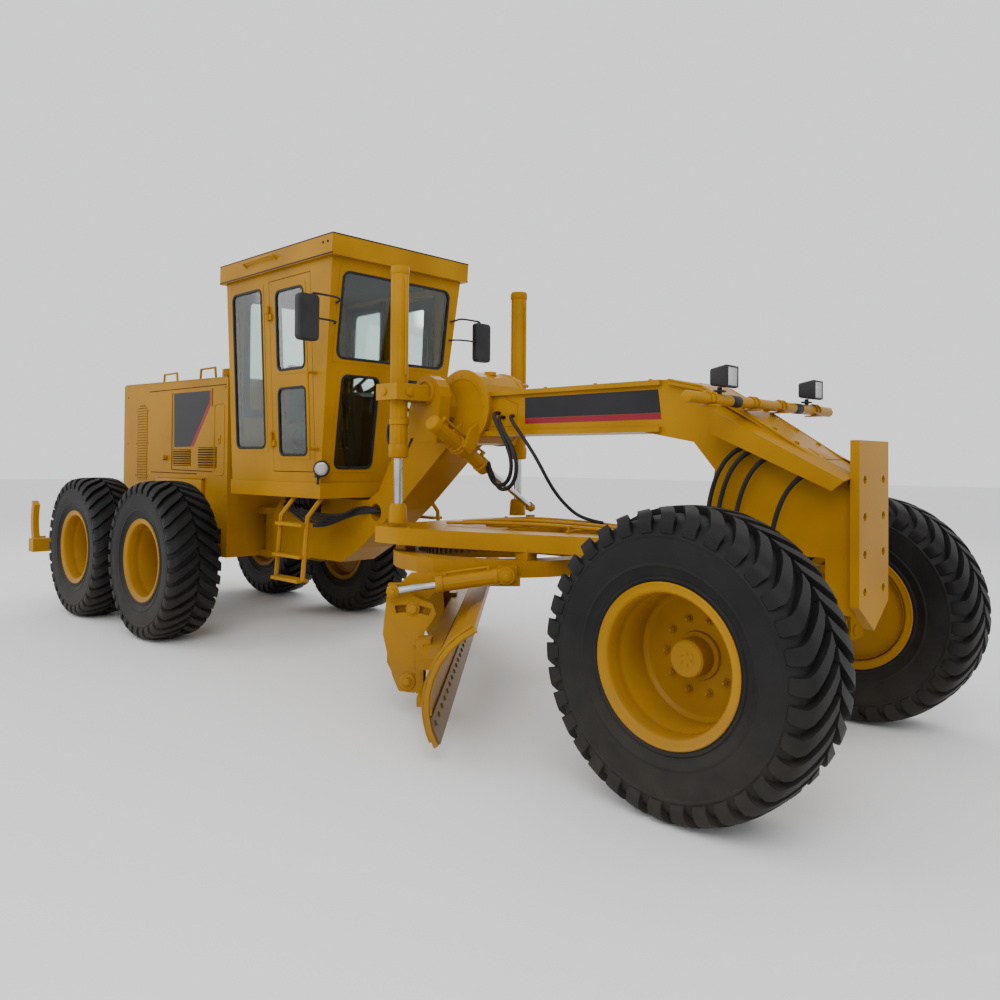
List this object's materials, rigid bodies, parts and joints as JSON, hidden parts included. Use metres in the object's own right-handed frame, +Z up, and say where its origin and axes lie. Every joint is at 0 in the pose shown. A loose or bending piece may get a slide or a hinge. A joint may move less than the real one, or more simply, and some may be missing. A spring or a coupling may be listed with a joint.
{
  "type": "motor grader",
  "caption": "Articulated motor grader with cab, goose-neck frame, turntable-mounted moldboard, leaning steered front wheels, tandem drive wheels and rear ripper",
  "frame": {"origin": "on the ground under the middle of the machine's length and width", "axes": "+X forward, +Y to the machine's left, +Z up"},
  "size_m": [8.7737, 2.8958, 3.21],
  "materials": {
    "yellow_paint": "semi-gloss ochre yellow enamel",
    "black_paint": "satin black",
    "tyre": "matt black rubber with dust",
    "rod_steel": "plated piston rod",
    "seat_cloth": "black vinyl"
  },
  "bodies": {
    "rear_frame": {"rear_chassis": "yellow_paint", "hood": "yellow_paint", "engine_block": "black_paint", "rear_axle": "yellow_paint", "tandem_case_left": "yellow_paint", "tandem_case_right": "yellow_paint"},
    "front_frame": {"main_frame": "yellow_paint", "front_plate": "yellow_paint", "light_bar": "black_paint", "lift_barrel_left": "yellow_paint", "lift_barrel_right": "yellow_paint", "cab_shell": "yellow_paint", "cab_floor": "yellow_paint", "cab_roof": "yellow_paint", "operator_seat": "seat_cloth", "steering_console": "black_paint", "mirror_left": "black_paint", "mirror_right": "black_paint", "front_axle": "yellow_paint"},
    "grille_door": {"rear_grille": "yellow_paint"},
    "ripper": {"ripper": "yellow_paint"},
    "ripper_barrel": {"ripper_cylinder_barrel": "yellow_paint"},
    "ripper_rod": {"ripper_cylinder_rod": "rod_steel"},
    "door_left": {"cab_door_left": "yellow_paint"},
    "door_right": {"cab_door_right": "yellow_paint"},
    "drawbar": {"drawbar": "yellow_paint"},
    "shift_barrel": {"centre_shift_barrel": "yellow_paint"},
    "shift_rod": {"centre_shift_rod": "rod_steel"},
    "lift_rod_left": {"lift_rod_left": "rod_steel"},
    "lift_rod_right": {"lift_rod_right": "rod_steel"},
    "circle": {"circle": "yellow_paint"},
    "blade_carrier": {"tip_bracket_left": "yellow_paint", "tip_bracket_right": "yellow_paint"},
    "moldboard": {"moldboard": "yellow_paint"},
    "tip_barrel": {"tip_cylinder_barrel": "yellow_paint"},
    "tip_rod": {"tip_cylinder_rod": "rod_steel"},
    "lean_carrier_left": {"wheel_carrier_left": "yellow_paint"},
    "lean_carrier_right": {"wheel_carrier_right": "yellow_paint"},
    "lean_bar": {"lean_bar": "yellow_paint"},
    "knuckle_left": {"steering_knuckle_left": "yellow_paint"},
    "knuckle_right": {"steering_knuckle_right": "yellow_paint"},
    "wheel_tandem_left_front": {"tyre_tandem_left_front": "tyre", "rim_tandem_left_front": "yellow_paint"},
    "wheel_tandem_left_rear": {"tyre_tandem_left_rear": "tyre", "rim_tandem_left_rear": "yellow_paint"},
    "wheel_tandem_right_front": {"tyre_tandem_right_front": "tyre", "rim_tandem_right_front": "yellow_paint"},
    "wheel_tandem_right_rear": {"tyre_tandem_right_rear": "tyre", "rim_tandem_right_rear": "yellow_paint"},
    "wheel_front_left": {"tyre_front_left": "tyre", "rim_front_left": "yellow_paint"},
    "wheel_front_right": {"tyre_front_right": "tyre", "rim_front_right": "yellow_paint"}
  },
  "joints": [
    {"name": "spin_tandem_left_front", "type": "hinge", "parent": "rear_frame", "child": "wheel_tandem_left_front", "pos_m": [-1.445, 1.025, 0.674], "axis": [0, 1, 0], "continuous": true},
    {"name": "spin_tandem_left_rear", "type": "hinge", "parent": "rear_frame", "child": "wheel_tandem_left_rear", "pos_m": [-2.969, 1.025, 0.674], "axis": [0, 1, 0], "continuous": true},
    {"name": "spin_tandem_right_front", "type": "hinge", "parent": "rear_frame", "child": "wheel_tandem_right_front", "pos_m": [-1.445, -1.025, 0.674], "axis": [0, 1, 0], "continuous": true},
    {"name": "spin_tandem_right_rear", "type": "hinge", "parent": "rear_frame", "child": "wheel_tandem_right_rear", "pos_m": [-2.969, -1.025, 0.674], "axis": [0, 1, 0], "continuous": true},
    {"name": "spin_front_left", "type": "hinge", "parent": "knuckle_left", "child": "wheel_front_left", "pos_m": [3.713, 0.998, 0.674], "axis": [0, 1, 0], "continuous": true},
    {"name": "spin_front_right", "type": "hinge", "parent": "knuckle_right", "child": "wheel_front_right", "pos_m": [3.713, -0.998, 0.674], "axis": [0, 1, 0], "continuous": true},
    {"name": "articulation", "type": "hinge", "parent": "rear_frame", "child": "front_frame", "pos_m": [-1.257, 0, 0.87], "axis": [0, 0, 1], "range_deg": [-20, 20]},
    {"name": "grille_door_swing", "type": "hinge", "parent": "rear_frame", "child": "grille_door", "pos_m": [-3.7123, 0.45, 1.7], "axis": [0, 0, -1], "range_deg": [0, 110]},
    {"name": "ripper_lift", "type": "hinge", "parent": "rear_frame", "child": "ripper", "pos_m": [-3.887, 0, 0.78], "axis": [0, -1, 0], "range_deg": [0, 28]},
    {"name": "ripper_barrel_swing", "type": "hinge", "parent": "rear_frame", "child": "ripper_barrel", "pos_m": [-3.897, 0, 1], "axis": [0, -1, 0], "range_deg": [-5, 30]},
    {"name": "ripper_rod_slide", "type": "slide", "parent": "ripper_barrel", "child": "ripper_rod", "axis": [-0.6347, 0, -0.7727], "range_m": [-0.02, 0.12]},
    {"name": "cab_door_left_swing", "type": "hinge", "parent": "front_frame", "child": "door_left", "pos_m": [-0.407, 0.63028, 2.2], "axis": [0, 0.0443, 0.999], "range_deg": [0, 95]},
    {"name": "cab_door_right_swing", "type": "hinge", "parent": "front_frame", "child": "door_right", "pos_m": [-0.407, -0.63028, 2.2], "axis": [0, 0.0443, -0.999], "range_deg": [0, 95]},
    {"name": "blade_lift", "type": "hinge", "parent": "front_frame", "child": "drawbar", "pos_m": [3.273, 0, 1.03], "axis": [0, 1, 0], "range_deg": [-18, 5]},
    {"name": "lift_rod_left_slide", "type": "slide", "parent": "front_frame", "child": "lift_rod_left", "axis": [0, 0, 1], "range_m": [-0.7, 0.2]},
    {"name": "lift_rod_right_slide", "type": "slide", "parent": "front_frame", "child": "lift_rod_right", "axis": [0, 0, 1], "range_m": [-0.7, 0.2]},
    {"name": "shift_barrel_swing", "type": "hinge", "parent": "front_frame", "child": "shift_barrel", "pos_m": [1.493, -0.28, 1.63], "axis": [1, 0, 0], "range_deg": [-30, 15]},
    {"name": "shift_rod_slide", "type": "slide", "parent": "shift_barrel", "child": "shift_rod", "axis": [-0.1059, 0.8786, -0.4657], "range_m": [-0.12, 0.42]},
    {"name": "circle_turn", "type": "hinge", "parent": "drawbar", "child": "circle", "pos_m": [1.643, 0, 0.88], "axis": [0, 0, 1], "range_deg": [-84, 4]},
    {"name": "blade_tip", "type": "hinge", "parent": "circle", "child": "blade_carrier", "pos_m": [1.23427, -0.36802, 0.22], "axis": [-0.6691, 0.7431, 0], "range_deg": [-10, 20]},
    {"name": "blade_side_shift", "type": "slide", "parent": "blade_carrier", "child": "moldboard", "axis": [-0.6691, 0.7431, 0], "range_m": [-0.35, 0.35]},
    {"name": "tip_barrel_swing", "type": "hinge", "parent": "circle", "child": "tip_barrel", "pos_m": [2.27494, -0.64206, 0.865], "axis": [-0.6691, 0.7431, 0], "range_deg": [-10, 10]},
    {"name": "tip_rod_slide", "type": "slide", "parent": "tip_barrel", "child": "tip_rod", "axis": [-0.735, -0.6618, -0.1476], "range_m": [-0.22, 0.12]},
    {"name": "wheel_lean_left", "type": "hinge", "parent": "front_frame", "child": "lean_carrier_left", "pos_m": [3.713, 0.56, 0.6], "axis": [1, 0, 0], "range_deg": [-18, 18]},
    {"name": "wheel_lean_right", "type": "hinge", "parent": "front_frame", "child": "lean_carrier_right", "pos_m": [3.713, -0.56, 0.6], "axis": [1, 0, 0], "range_deg": [-18, 18]},
    {"name": "lean_bar_swing", "type": "hinge", "parent": "lean_carrier_left", "child": "lean_bar", "pos_m": [3.713, 0.56, 0.84], "axis": [1, 0, 0], "range_deg": [-18, 18]},
    {"name": "steer_left", "type": "hinge", "parent": "lean_carrier_left", "child": "knuckle_left", "pos_m": [3.713, 0.745, 0.674], "axis": [0, 0, 1], "range_deg": [-45, 45]},
    {"name": "steer_right", "type": "hinge", "parent": "lean_carrier_right", "child": "knuckle_right", "pos_m": [3.713, -0.745, 0.674], "axis": [0, 0, 1], "range_deg": [-45, 45]}
  ],
  "couplings": [
    {"joint": "wheel_lean_right", "follows": "wheel_lean_left", "ratio": 1},
    {"joint": "lean_bar_swing", "follows": "wheel_lean_left", "ratio": -1},
    {"joint": "steer_right", "follows": "steer_left", "ratio": 1},
    {"joint": "lift_rod_left_slide", "follows": "blade_lift", "m_per_rad": 2.1},
    {"joint": "lift_rod_right_slide", "follows": "blade_lift", "m_per_rad": 2.1},
    {"joint": "shift_barrel_swing", "follows": "blade_lift", "ratio": 1.33},
    {"joint": "shift_rod_slide", "follows": "blade_lift", "m_per_rad": -1.18},
    {"joint": "ripper_barrel_swing", "follows": "ripper_lift", "ratio": 0.541},
    {"joint": "ripper_rod_slide", "follows": "ripper_lift", "m_per_rad": 0.1241},
    {"joint": "tip_barrel_swing", "follows": "blade_tip", "ratio": -0.145},
    {"joint": "tip_rod_slide", "follows": "blade_tip", "m_per_rad": -0.5386}
  ]
}
